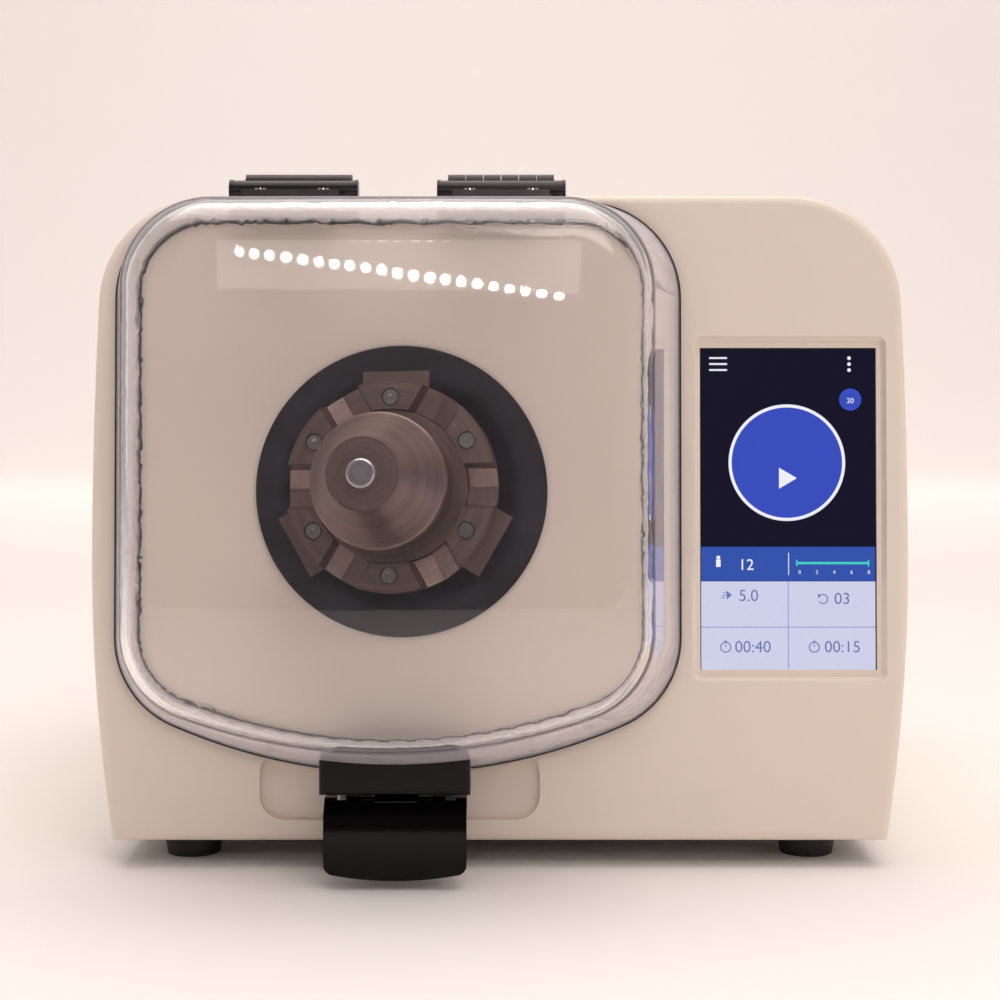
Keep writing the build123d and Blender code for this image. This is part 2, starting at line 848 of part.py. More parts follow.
def side_plane(u):
    """Plane across the machine at u, with n to its right and v upwards."""
    return Plane(origin=face.from_local_coords((u, 0, 0)), x_dir=out_of_face, z_dir=(-1, 0, 0))


def knuckle_starts(centre, first):
    """Left ends of every second knuckle, counted from first."""
    left = centre - hinge_width / 2
    return [left + knuckle * number for number in range(first, hinge_knuckle_count, 2)]


foot_top = face.from_local_coords((lid_u, lid_top + hinge_foot_rise, foot_screw_n))
foot_plane = Plane(origin=foot_top, x_dir=across, z_dir=up_face)


def foot_screw_circles(radius):
    """Circles on the hinge feet, where their screws go down into the lid."""
    with BuildSketch(foot_plane) as circles:
        with GridLocations(hinge_spacing, 1, 2, 1):
            with GridLocations(foot_screw_spacing, 1, 2, 1):
                Circle(radius)
    return circles.sketch


for side, word in ((-1, "left"), (1, "right")):
    centre = lid_u + side * hinge_spacing / 2
    with BuildPart() as hinge_leaf_fixed:
        for start in knuckle_starts(centre, 0):
            with BuildSketch(Plane.YZ.offset(start)):
                with Locations((hinge_y, hinge_z)):
                    Circle(hinge_knuckle)
                with Locations((hinge_y, body_top)):
                    Rectangle(hinge_knuckle + leaf_web, hinge_z - body_top, align=(Align.MIN, Align.MIN))
            extrude(amount=knuckle - side_play)
        with BuildSketch(Plane.YZ.offset(centre - hinge_width / 2)):
            with Locations((hinge_y + hinge_knuckle + hinge_lift, body_top)):
                Rectangle(hinge_leaf_length, hinge_leaf, align=(Align.MIN, Align.MIN))
        extrude(amount=hinge_width)
        with BuildSketch(Plane.YZ.offset(centre - hinge_width / 2)):
            with Locations((hinge_y, hinge_z)):
                Circle(hinge_pin_radius)
        extrude(amount=hinge_width, mode=Mode.SUBTRACT)
    hinge_leaf_fixed.part.label = f"hinge_leaf_fixed_{word}"
    export_step(hinge_leaf_fixed.part, f"parts/hinge_leaf_fixed_{word}.step")

    with BuildPart() as hinge_leaf_moving:
        for start in knuckle_starts(centre, 1):
            with BuildSketch(Plane.YZ.offset(start)):
                with Locations((hinge_y, hinge_z)):
                    Circle(hinge_knuckle)
                with Locations((bar_y, arm_bottom)):
                    Rectangle(hinge_y - bar_y, hinge_arm, align=(Align.MIN, Align.MIN))
            extrude(amount=knuckle - side_play)
        with BuildSketch(Plane.YZ.offset(centre - hinge_bar_length / 2)):
            with Locations((bar_y, bar_z)):
                Circle(hinge_bar_radius)
        extrude(amount=hinge_bar_length)
        with BuildSketch(side_plane(centre + hinge_foot_width / 2)):
            with Locations((seal_gap + seal_height + side_play, lid_top + hinge_foot_rise)):
                Rectangle(hinge_foot_reach, hinge_foot_depth, align=(Align.MIN, Align.MAX))
        extrude(amount=hinge_foot_width)
        add(lid_body, mode=Mode.SUBTRACT)
        with BuildSketch(Plane.YZ.offset(centre - hinge_width / 2)):
            with Locations((hinge_y, hinge_z)):
                Circle(hinge_pin_radius + fit)
        extrude(amount=hinge_width, mode=Mode.SUBTRACT)
        extrude(foot_screw_circles(foot_screw_core + screw_fit), amount=-foot_screw_length, mode=Mode.SUBTRACT)
    hinge_leaf_moving.part.label = f"hinge_leaf_moving_{word}"
    export_step(hinge_leaf_moving.part, f"parts/hinge_leaf_moving_{word}.step")

    with BuildPart() as hinge_pin:
        with BuildSketch(Plane.YZ.offset(centre - hinge_width / 2)):
            with Locations((hinge_y, hinge_z)):
                Circle(hinge_pin_radius)
        extrude(amount=hinge_width - side_play)
    hinge_pin.part.label = f"hinge_pin_{word}"
    export_step(hinge_pin.part, f"parts/hinge_pin_{word}.step")

with BuildPart() as hinge_caps:
    for side in (-1, 1):
        centre = lid_u + side * hinge_spacing / 2
        for start in (centre - hinge_bar_length / 2 - hinge_cap_width, centre + hinge_bar_length / 2):
            with BuildSketch(Plane.YZ.offset(start)):
                with Locations((bar_y, bar_z)):
                    Circle(hinge_cap_radius)
            extrude(amount=hinge_cap_width)
    add(lid_body, mode=Mode.SUBTRACT)
hinge_caps.part.label = "hinge_caps"
export_step(hinge_caps.part, "parts/hinge_caps.step")

leaf_middle = hinge_y + hinge_knuckle + hinge_lift + hinge_leaf_length / 2
with BuildPart() as hinge_leaf_screws:
    for side in (-1, 1):
        with BuildSketch(Plane.XY.offset(body_top + hinge_leaf)):
            with Locations((lid_u + side * hinge_spacing / 2, leaf_middle)):
                with GridLocations(leaf_screw_spacing, 1, 2, 1):
                    Circle(rear_screw_radius)
        extrude(amount=head_height)
hinge_leaf_screws.part.label = "hinge_leaf_screws"
export_step(hinge_leaf_screws.part, "parts/hinge_leaf_screws.step")

with BuildPart() as hinge_foot_screws:
    extrude(foot_screw_circles(foot_screw_radius), amount=head_height)
    extrude(foot_screw_circles(foot_screw_core), amount=-foot_screw_length)
hinge_foot_screws.part.label = "hinge_foot_screws"
export_step(hinge_foot_screws.part, "parts/hinge_foot_screws.step")

with BuildPart() as lid_dome:
    add(lid_body)
    add(lid_space, mode=Mode.SUBTRACT)
    extrude(foot_screw_circles(foot_screw_core + screw_fit), amount=-foot_screw_length, mode=Mode.SUBTRACT)
lid_dome.part.label = "lid_dome"
export_step(lid_dome.part, "parts/lid_dome.step")

# Latch: a block under the lid, and a lever that hangs from its two lugs on a pin
with BuildPart() as latch_block:
    with BuildSketch(side_plane(latch_u + latch_block_width / 2)):
        with Locations((latch_block_back, latch_block_bottom)):
            Rectangle(
                latch_block_front - latch_block_back, latch_block_height, align=(Align.MIN, Align.MIN)
            )
    extrude(amount=latch_block_width)
    front = latch_block.faces().sort_by(Axis(face.origin, face.z_dir))[-1]
    fillet(front.edges(), latch_edge)
    add(lid_body, mode=Mode.SUBTRACT)
    for offset_u in (-lug_offset, lug_offset):
        with BuildSketch(side_plane(latch_u + offset_u + lug_width / 2)):
            with Locations((pivot_n, pivot_v)):
                Circle(lug_radius)
            with Locations((pivot_n - lug_radius, pivot_v)):
                Rectangle(lug_radius + lug_neck, lug_height, align=(Align.MIN, Align.MIN))
        extrude(amount=lug_width)
    with BuildSketch(side_plane(latch_u + latch_block_width / 2)):
        with Locations((pivot_n, pivot_v)):
            Circle(pivot_radius)
    extrude(amount=latch_block_width, mode=Mode.SUBTRACT)
latch_block.part.label = "latch_block"
export_step(latch_block.part, "parts/latch_block.step")

arm_top = pivot_v - pivot_radius
armature_v = arm_top - arm_height / 2
lever_low = lever_bottom - lever_sag
lever_inner = lever_front - lever_plate
with BuildPart() as latch_lever:
    with BuildSketch(side_plane(latch_u + lever_width / 2)):
        with BuildLine():
            brow = (lever_inner, lever_top - lever_bevel + lever_plate)
            shoulder = (lever_front, lever_top - lever_bevel)
            toe = (lever_front - lever_sweep, lever_low)
            Line(brow, shoulder)
            Spline(shoulder, (lever_front + lever_bulge, (shoulder[1] + lever_low) / 2), toe)
            Polyline(
                toe,
                (toe[0] - lever_plate, lever_low),
                (lever_inner, lever_top - lever_cheek_height),
                brow,
            )
        make_face()
    extrude(amount=lever_width)
    for start in (latch_u + lever_width / 2, latch_u - lever_width / 2 + lever_cheek):
        with BuildSketch(side_plane(start)):
            with BuildLine():
                Polyline(
                    (lever_cheek_back, lever_top),
                    (lever_front - lever_bevel, lever_top),
                    brow,
                    (lever_inner + lever_root, lever_top - lever_bevel),
                    (lever_inner + lever_root, lever_top - lever_cheek_height),
                    (lever_cheek_back, lever_top - lever_bevel),
                    close=True,
                )
            make_face()
        extrude(amount=lever_cheek)
    # The lower edge is bowed, with round corners
    with BuildSketch(face):
        with BuildLine():
            half = lever_width / 2
            ThreePointArc((latch_u - half, lever_bottom), (latch_u, lever_low), (latch_u + half, lever_bottom))
            Polyline(
                (latch_u + half, lever_bottom),
                (latch_u + half, lever_top),
                (latch_u - half, lever_top),
                (latch_u - half, lever_bottom),
            )
        make_face()
        fillet(vertices().group_by(Axis.Y)[0], lever_corner)
    extrude(amount=lever_front + lever_root, mode=Mode.INTERSECT)
    # An arm reaches back from the pin to a steel armature, which the two magnets hold
    with BuildSketch(side_plane(latch_u + arm_width / 2)):
        with Locations((pivot_n, pivot_v)):
            Circle(arm_hub)
            Rectangle(lever_inner + lever_root - pivot_n, arm_hub, align=(Align.MIN, Align.CENTER))
        with Locations((armature_back, armature_v)):
            Rectangle(pivot_n - armature_back, arm_height, align=(Align.MIN, Align.CENTER))
    extrude(amount=arm_width)
    with BuildSketch(face.offset(armature_back)):
        with Locations((latch_u, armature_v)):
            RectangleRounded(armature_width, armature_height, armature_thickness)
    extrude(amount=armature_thickness)
    with BuildSketch(side_plane(latch_u + lever_width / 2)):
        with Locations((pivot_n, pivot_v)):
            Circle(pivot_radius + fit)
    extrude(amount=lever_width, mode=Mode.SUBTRACT)
latch_lever.part.label = "latch_lever"
export_step(latch_lever.part, "parts/latch_lever.step")

with BuildPart() as latch_pin:
    with BuildSketch(side_plane(latch_u + lever_width / 2 - side_play)):
        with Locations((pivot_n, pivot_v)):
            Circle(pivot_radius)
    extrude(amount=lever_width - 2 * side_play)
latch_pin.part.label = "latch_pin"
export_step(latch_pin.part, "parts/latch_pin.step")

# Magnets on the recess floor, in a holder
with BuildPart() as magnet_holder:
    with BuildSketch(face.offset(-recess_depth)):
        with Locations((latch_u, armature_v)):
            RectangleRounded(holder_width, holder_height, holder_plate)
    extrude(amount=holder_plate)
magnet_holder.part.label = "magnet_holder"
export_step(magnet_holder.part, "parts/magnet_holder.step")

with BuildPart() as latch_magnets:
    with BuildSketch(face.offset(holder_plate - recess_depth)):
        with Locations((latch_u, armature_v)):
            with GridLocations(magnet_spacing, 1, 2, 1):
                Circle(magnet_radius)
    extrude(amount=armature_back - magnet_gap - holder_plate + recess_depth)
latch_magnets.part.label = "latch_magnets"
export_step(latch_magnets.part, "parts/latch_magnets.step")

with BuildPart() as holder_screws:
    with BuildSketch(face.offset(holder_plate - recess_depth)):
        with Locations((latch_u, armature_v)):
            with GridLocations(holder_screw_spacing, 1, 2, 1):
                Circle(holder_screw_radius)
    extrude(amount=head_height)
holder_screws.part.label = "holder_screws"
export_step(holder_screws.part, "parts/holder_screws.step")

with BuildPart() as lid_switch:
    with BuildSketch(face.offset(-wall - recess_depth)):
        with Locations((latch_u, armature_v + switch_height / 2)):
            Rectangle(switch_width, switch_height)
    extrude(amount=-switch_depth)
lid_switch.part.label = "lid_switch"
export_step(lid_switch.part, "parts/lid_switch.step")

# Base plate on four rubber feet
base_front = front_y + wall / cos(radians(lean)) + base_thickness * tan(radians(lean)) + plate_gap
with BuildPart() as base_plate:
    with BuildSketch(Plane.XY.offset(floor_gap)):
        with Locations((0, base_front)):
            Rectangle(
                body_foot_width - 2 * wall - 2 * plate_gap,
                rear_y - rear_recess - base_front,
                align=(Align.CENTER, Align.MIN),
            )
    extrude(amount=base_thickness)
base_plate.part.label = "base_plate"
export_step(base_plate.part, "parts/base_plate.step")

foot_taper = degrees(atan((foot_radius - foot_top_radius) / floor_gap))
with BuildPart() as rubber_feet:
    with BuildSketch(Plane.XY.offset(floor_gap)):
        with Locations((0, (front_y + rear_y) / 2)):
            with GridLocations(
                body_foot_width - 2 * foot_inset_x, rear_y - front_y - 2 * foot_inset_y, 2, 2
            ):
                Circle(foot_radius)
    extrude(amount=-floor_gap, taper=foot_taper)
rubber_feet.part.label = "rubber_feet"
export_step(rubber_feet.part, "parts/rubber_feet.step")

# Rear panel with its openings, set back inside the hood
panel_outer = rear_y - rear_recess
panel_inner = panel_outer - rear_thickness
rear_plane = Plane(origin=(0, panel_outer, 0), x_dir=(-1, 0, 0), z_dir=(0, 1, 0))
with BuildPart() as rear_panel:
    with BuildSketch(Plane(origin=(0, panel_outer, floor_gap), x_dir=(1, 0, 0), z_dir=(0, -1, 0))):
        add(body_outline())
        offset(amount=-wall - plate_gap)
    extrude(amount=rear_thickness)
    split(bisect_by=Plane.XY.offset(base_top), keep=Keep.TOP)
    with BuildSketch(rear_plane):
        with Locations((-fan_x, fan_z)):
            Circle(fan_bore)
        with Locations((-inlet_x, inlet_z)):
            Rectangle(inlet_body_width + 2 * plate_gap, inlet_body_height + 2 * plate_gap)
        with Locations((-inlet_x, rocker_z)):
            Rectangle(rocker_frame_width - 2 * rocker_frame, rocker_frame_height - 2 * rocker_frame)
        with Locations((-vent_x, vent_z)):
            with GridLocations(1, vent_pitch, 1, vent_count):
                SlotOverall(vent_width, vent_height)
    extrude(amount=-rear_thickness, mode=Mode.SUBTRACT)
rear_panel.part.label = "rear_panel"
export_step(rear_panel.part, "parts/rear_panel.step")

with BuildPart() as rear_screws:
    with BuildSketch(rear_plane):
        with Locations((0, floor_gap + body_height / 2)):
            with GridLocations(body_foot_width - 2 * wall - 2 * rear_screw_inset, body_height / 3, 2, 3):
                Circle(rear_screw_radius)
    extrude(amount=head_height)
rear_screws.part.label = "rear_screws"
export_step(rear_screws.part, "parts/rear_screws.step")

# Cooling fan behind the rear panel, with a wire guard outside
fan_plane = Plane(origin=(fan_x, panel_inner, fan_z), x_dir=(-1, 0, 0), z_dir=(0, 1, 0))
with BuildPart() as fan_frame:
    with BuildSketch(fan_plane):
        RectangleRounded(fan_size, fan_size, fan_strut)
        Circle(fan_bore, mode=Mode.SUBTRACT)
    extrude(amount=-fan_depth)
    with BuildSketch(fan_plane.offset(-fan_depth)):
        with PolarLocations(0, 4, start_angle=45):
            Rectangle(fan_bore + fan_strut / 2, fan_strut, align=(Align.MIN, Align.CENTER))
        Circle(fan_hub)
    extrude(amount=fan_plate)
    with BuildSketch(fan_plane.offset(-fan_depth)):
        Circle(fan_axle + fit)
    extrude(amount=fan_plate, mode=Mode.SUBTRACT)
fan_frame.part.label = "fan_frame"
export_step(fan_frame.part, "parts/fan_frame.step")

rotor_back = -fan_depth + fan_plate + seat_gap
with BuildPart() as fan_rotor:
    for number in range(fan_blade_count):
        turn = radians(360 / fan_blade_count * number)
        spoke = fan_plane.x_dir * cos(turn) + fan_plane.y_dir * sin(turn)
        middle = fan_plane.from_local_coords((0, 0, rotor_back + fan_blade_depth / 2))
        along_blade = spoke.cross(fan_plane.z_dir).rotate(Axis((0, 0, 0), spoke), fan_blade_pitch)
        with BuildSketch(Plane(origin=middle, x_dir=along_blade, z_dir=spoke)):
            Rectangle(fan_blade_depth / sin(radians(fan_blade_pitch)), fan_blade_thickness)
        extrude(amount=fan_blade_radius + wall)
    with BuildSketch(fan_plane.offset(rotor_back)):
        Circle(fan_blade_radius)
    extrude(amount=fan_blade_depth, mode=Mode.INTERSECT)
    with BuildSketch(fan_plane.offset(rotor_back)):
        Circle(fan_hub)
    extrude(amount=fan_blade_depth)
    with BuildSketch(fan_plane.offset(rotor_back)):
        Circle(fan_axle)
    extrude(amount=-fan_plate)
fan_rotor.part.label = "fan_rotor"
export_step(fan_rotor.part, "parts/fan_rotor.step")

guard_plane = Plane(origin=(fan_x, panel_outer + guard_wire, fan_z), x_dir=(-1, 0, 0), z_dir=(0, 1, 0))
guard_section = Plane(origin=guard_plane.origin, x_dir=(-1, 0, 0), z_dir=(0, 0, 1))
with BuildPart() as fan_guard:
    with BuildSketch(guard_section):
        for number in range(guard_ring_count):
            with Locations(((fan_bore + 2 * guard_wire) * (number + 1) / guard_ring_count, 0)):
                Circle(guard_wire)
    revolve(axis=Axis(guard_plane.origin, (0, 1, 0)))
    for turn in (45, 135):
        bar = guard_plane.x_dir * cos(radians(turn)) + guard_plane.y_dir * sin(radians(turn))
        with BuildSketch(Plane(origin=guard_plane.origin, x_dir=(0, 1, 0), z_dir=bar)):
            Circle(guard_wire)
        extrude(amount=fan_bore + 2 * guard_wire, both=True)
fan_guard.part.label = "fan_guard"
export_step(fan_guard.part, "parts/fan_guard.step")

# Mains inlet: a socket with three blades
inlet_plane = Plane(origin=(inlet_x, panel_outer, inlet_z), x_dir=(-1, 0, 0), z_dir=(0, 1, 0))
blades = [(-blade_spacing, -blade_offset), (0, blade_offset), (blade_spacing, -blade_offset)]
with BuildPart() as mains_inlet:
    with BuildSketch(inlet_plane):
        RectangleRounded(inlet_flange_width, inlet_flange_height, inlet_flange)
    extrude(amount=inlet_flange)
    with BuildSketch(inlet_plane):
        Rectangle(inlet_body_width, inlet_body_height)
    extrude(amount=-inlet_body_depth)
    with BuildSketch(inlet_plane.offset(inlet_flange)):
        RectangleRounded(socket_width, socket_height, inlet_flange)
    extrude(amount=-socket_depth, mode=Mode.SUBTRACT)
    with BuildSketch(inlet_plane.offset(inlet_flange - socket_depth)):
        with Locations(blades):
            Rectangle(blade_thickness, blade_width)
    extrude(amount=blade_length)
mains_inlet.part.label = "mains_inlet"
export_step(mains_inlet.part, "parts/mains_inlet.step")

# Power switch: a rocker that turns on an upright axis in its frame
rocker_plane = Plane(origin=(inlet_x, panel_outer, rocker_z), x_dir=(-1, 0, 0), z_dir=(0, 1, 0))
rocker_pivot = rocker_plane.from_local_coords((0, 0, -rocker_stand))
rocker_foot = Plane(origin=rocker_pivot - Vector(0, 0, rocker_height / 2), x_dir=(1, 0, 0), z_dir=(0, 0, 1))
with BuildPart() as switch_frame:
    with BuildSketch(rocker_plane):
        RectangleRounded(rocker_frame_width, rocker_frame_height, rocker_frame)
    extrude(amount=rocker_frame)
    with BuildSketch(rocker_plane):
        Rectangle(
            rocker_frame_width - 2 * rocker_frame - 2 * plate_gap,
            rocker_frame_height - 2 * rocker_frame - 2 * plate_gap,
        )
    extrude(amount=-rocker_body_depth)
    with BuildSketch(rocker_plane.offset(rocker_frame)):
        Rectangle(rocker_width + 2 * rocker_gap, rocker_height + 2 * rocker_gap)
    extrude(amount=-rocker_depth - rocker_frame, mode=Mode.SUBTRACT)
    with BuildSketch(rocker_foot.offset(-rocker_axle_length)):
        Circle(rocker_axle + fit)
    extrude(amount=rocker_height + 2 * rocker_axle_length, mode=Mode.SUBTRACT)
switch_frame.part.label = "switch_frame"
export_step(switch_frame.part, "parts/switch_frame.step")

with BuildPart() as switch_rocker:
    with BuildSketch(rocker_foot):
        Circle(rocker_width / 2)
        with Locations((0, -rocker_stand)):
            Rectangle(rocker_width, rocker_width, align=(Align.CENTER, Align.MAX), mode=Mode.SUBTRACT)
        with Locations((0, 2 * rocker_stand)):
            Rectangle(rocker_width, rocker_width, align=(Align.MAX, Align.MIN), mode=Mode.SUBTRACT)
        with Locations(Location((0, 2 * rocker_stand), 2 * rocker_throw)):
            Rectangle(rocker_width, rocker_width, align=(Align.MIN, Align.MIN), mode=Mode.SUBTRACT)
    extrude(amount=rocker_height)
    with BuildSketch(rocker_foot.offset(-rocker_axle_length)):
        Circle(rocker_axle)
    extrude(amount=rocker_height + 2 * rocker_axle_length)
switch_rocker.part.label = "switch_rocker"
export_step(switch_rocker.part, "parts/switch_rocker.step")

# Power supply and motor drive on the base plate
with BuildPart() as power_supply:
    with BuildSketch(Plane.XY.offset(base_top)):
        with Locations((supply_x, supply_y)):
            Rectangle(supply_width, supply_length)
    extrude(amount=supply_height)
    chamfer(power_supply.faces().sort_by(Axis.Z)[-1].edges(), base_thickness)
power_supply.part.label = "power_supply"
export_step(power_supply.part, "parts/power_supply.step")

with BuildPart() as motor_drive:
    with BuildSketch(Plane.XY.offset(base_top)):
        with Locations((drive_board_x, drive_board_y)):
            with GridLocations(
                drive_board_width - 2 * standoff_inset, drive_board_length - 2 * standoff_inset, 2, 2
            ):
                Circle(standoff_radius)
    extrude(amount=drive_board_lift)
    with BuildSketch(Plane.XY.offset(base_top + drive_board_lift)):
        with Locations((drive_board_x, drive_board_y)):
            Rectangle(drive_board_width, drive_board_length)
    extrude(amount=board_thickness)
    with BuildSketch(Plane.XY.offset(base_top + drive_board_lift + board_thickness)):
        with Locations((drive_board_x, drive_board_y)):
            Rectangle(heatsink_width, drive_board_length / 2)
    extrude(amount=base_thickness)
    with BuildSketch(Plane.XY.offset(base_top + drive_board_lift + board_thickness)):
        with Locations((drive_board_x, drive_board_y)):
            with GridLocations((heatsink_width - heatsink_fin) / (heatsink_fins - 1), 1, heatsink_fins, 1):
                Rectangle(heatsink_fin, drive_board_length / 2)
    extrude(amount=heatsink_height)
motor_drive.part.label = "motor_drive"
export_step(motor_drive.part, "parts/motor_drive.step")

# Mains lead: connector, tube, coil, tail and plug, all on the table behind the machine
cord_radius = cord_diameter / 2
connector_back = inlet_flange + connector_body_length
with BuildPart() as mains_connector:
    with BuildSketch(inlet_plane.offset(inlet_flange)):
        RectangleRounded(connector_width, connector_height, inlet_flange)
    extrude(amount=-connector_nose)
    with BuildSketch(inlet_plane.offset(inlet_flange)):
        RectangleRounded(connector_body_width, connector_body_height, 2 * inlet_flange)
    extrude(amount=connector_body_length)
    with BuildSketch(inlet_plane.offset(connector_back)):
        Circle(relief_radius)
    with BuildSketch(inlet_plane.offset(connector_back + relief_length)):
        Circle(cord_radius + plate_gap)
    loft(ruled=True)
    with BuildSketch(inlet_plane.offset(inlet_flange - connector_nose)):
        with Locations(blades):
            Rectangle(blade_thickness + plate_gap, blade_width + plate_gap)
    extrude(amount=blade_length, mode=Mode.SUBTRACT)
mains_connector.part.label = "mains_connector"
export_step(mains_connector.part, "parts/mains_connector.step")


def arc_radii(points):
    """Radius of the arc at each inner point, from the shorter of its two runs and the turn there."""
    radii = []
    for before, corner, after in zip(points, points[1:], points[2:]):
        first = Vector(corner) - Vector(before)
        second = Vector(after) - Vector(corner)
        half_turn = radians(first.get_angle(second)) / 2
        radii.append(run_share * min(first.length, second.length) / tan(half_turn))
    return radii


def cord_tube(points):
    """A round tube along straight runs joined by tangent arcs."""
    radii = arc_radii(points)
    print("cord radii", [round(radius, 1) for radius in radii])
    with BuildPart() as tube:
        with BuildLine() as route:
            FilletPolyline(*points, radius=radii)
        path = route.wires()[0]
        with BuildSketch(Plane(origin=path @ 0, z_dir=path % 0)):
            Circle(cord_radius)
        sweep(path=path)
    share = tube.part.volume / (pi * cord_radius**2 * path.length)
    print("cord length", round(path.length, 1), "volume share", round(share, 4))
    return tube


relief_end = inlet_plane.from_local_coords((0, 0, connector_back + relief_length))
lead_points = [
    (relief_end.X, relief_end.Y, relief_end.Z),
    (95.0, 319.5, 62.0),
    (95.0, 336.2, 55.3),
    (93.1, 349.4, 43.3),
    (87.5, 360.0, 29.9),
    (77.2, 368.6, 17.9),
    (62.1, 374.7, 10.3),
    (45.4, 375.9, 3.5),
    (27.5, 374.3, 3.5),
    (18.0, 372.0, 3.5),
]
power_cord = cord_tube(lead_points)
power_cord.part.label = "power_cord"
export_step(power_cord.part, "parts/power_cord.step")

with BuildPart() as power_cord_coil:
    with BuildSketch(Plane.XY):
        with Locations((coil_x, coil_y)):
            Circle((coil_mean + coil_columns * cord_diameter) / 2)
            Circle((coil_mean - coil_columns * cord_diameter) / 2, mode=Mode.SUBTRACT)
    extrude(amount=coil_layers * cord_diameter)
    fillet(power_cord_coil.edges(), coil_edge)
power_cord_coil.part.label = "power_cord_coil"
export_step(power_cord_coil.part, "parts/power_cord_coil.step")

tail_points = [
    (-24.0, 330.0, 3.5),
    (-24.0, 314.0, 3.5),
    (-30.1, 299.2, 4.4),
    (-41.4, 287.9, 7.0),
    (-56.2, 281.8, 10.6),
    (-72.2, 281.0, 12.0),
    (-86.0, 281.0, 12.0),
]
power_cord_tail = cord_tube(tail_points)
power_cord_tail.part.label = "power_cord_tail"
export_step(power_cord_tail.part, "parts/power_cord_tail.step")

plug_start = Vector(*tail_points[-1])
plug_plane = Plane(origin=plug_start, x_dir=(0, 1, 0), z_dir=(-1, 0, 0))
with BuildPart() as mains_plug:
    with BuildSketch(plug_plane):
        Circle(cord_radius + plate_gap)
    with BuildSketch(plug_plane.offset(relief_length)):
        Circle(relief_radius)
    loft(ruled=True)
    with BuildSketch(plug_plane.offset(relief_length)):
        RectangleRounded(plug_width, plug_height, plug_corner)
    extrude(amount=plug_length)
    with BuildSketch(plug_plane.offset(relief_length + plug_length)):
        with GridLocations(plug_pin_spacing, 1, 2, 1):
            Circle(plug_pin_radius)
    extrude(amount=plug_pin_length)
mains_plug.part.label = "mains_plug"
export_step(mains_plug.part, "parts/mains_plug.step")
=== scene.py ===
from math import cos, pi, radians, sin

import bmesh
import bpy
from mathutils import Matrix, Vector


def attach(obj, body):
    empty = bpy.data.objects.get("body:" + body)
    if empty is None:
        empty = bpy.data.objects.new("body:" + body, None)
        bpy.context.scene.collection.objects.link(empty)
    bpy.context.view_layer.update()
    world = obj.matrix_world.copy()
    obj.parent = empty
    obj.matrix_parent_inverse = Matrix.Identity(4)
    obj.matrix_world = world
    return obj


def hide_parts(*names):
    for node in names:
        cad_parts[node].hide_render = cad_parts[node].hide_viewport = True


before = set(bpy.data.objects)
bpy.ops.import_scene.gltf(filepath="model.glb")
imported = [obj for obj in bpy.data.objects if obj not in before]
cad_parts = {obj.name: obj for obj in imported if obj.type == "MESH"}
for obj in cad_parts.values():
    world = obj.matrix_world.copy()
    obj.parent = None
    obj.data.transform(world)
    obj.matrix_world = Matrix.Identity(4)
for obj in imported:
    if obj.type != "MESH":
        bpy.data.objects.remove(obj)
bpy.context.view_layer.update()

# The leaning face of the machine: u across, v up from its foot, n out of it, all in metres
FRONT_Y, FLOOR_GAP, LEAN = -0.148, 0.013, radians(4.3)
ACROSS = Vector((1, 0, 0))
UP_FACE = Vector((0, sin(LEAN), cos(LEAN)))
OUT = Vector((0, -cos(LEAN), sin(LEAN)))
FOOT = Vector((0, FRONT_Y, FLOOR_GAP))

# The tube carriage leans by the tilt about the wobble centre
TILT, TOWARDS = radians(9.2), radians(157)
WOBBLE_U, WOBBLE_V = -0.0474, 0.1692
WOBBLE = FOOT + ACROSS * WOBBLE_U + UP_FACE * WOBBLE_V
LEAN_TO = ACROSS * cos(TOWARDS) + UP_FACE * sin(TOWARDS)
CARRIAGE_OUT = Matrix.Rotation(TILT, 3, OUT.cross(LEAN_TO)) @ OUT


def on_face(u, v, n):
    """A point of the face in millimetres, as a point of the row in metres."""
    return FOOT + (ACROSS * u + UP_FACE * v + OUT * n) / 1000


def linear(r, g, b, a=1.0):
    """An sRGB colour from 0 to 255 as Blender's linear colour."""
    def one(c):
        c /= 255
        return c / 12.92 if c <= 0.04045 else ((c + 0.055) / 1.055) ** 2.4
    return (one(r), one(g), one(b), a)


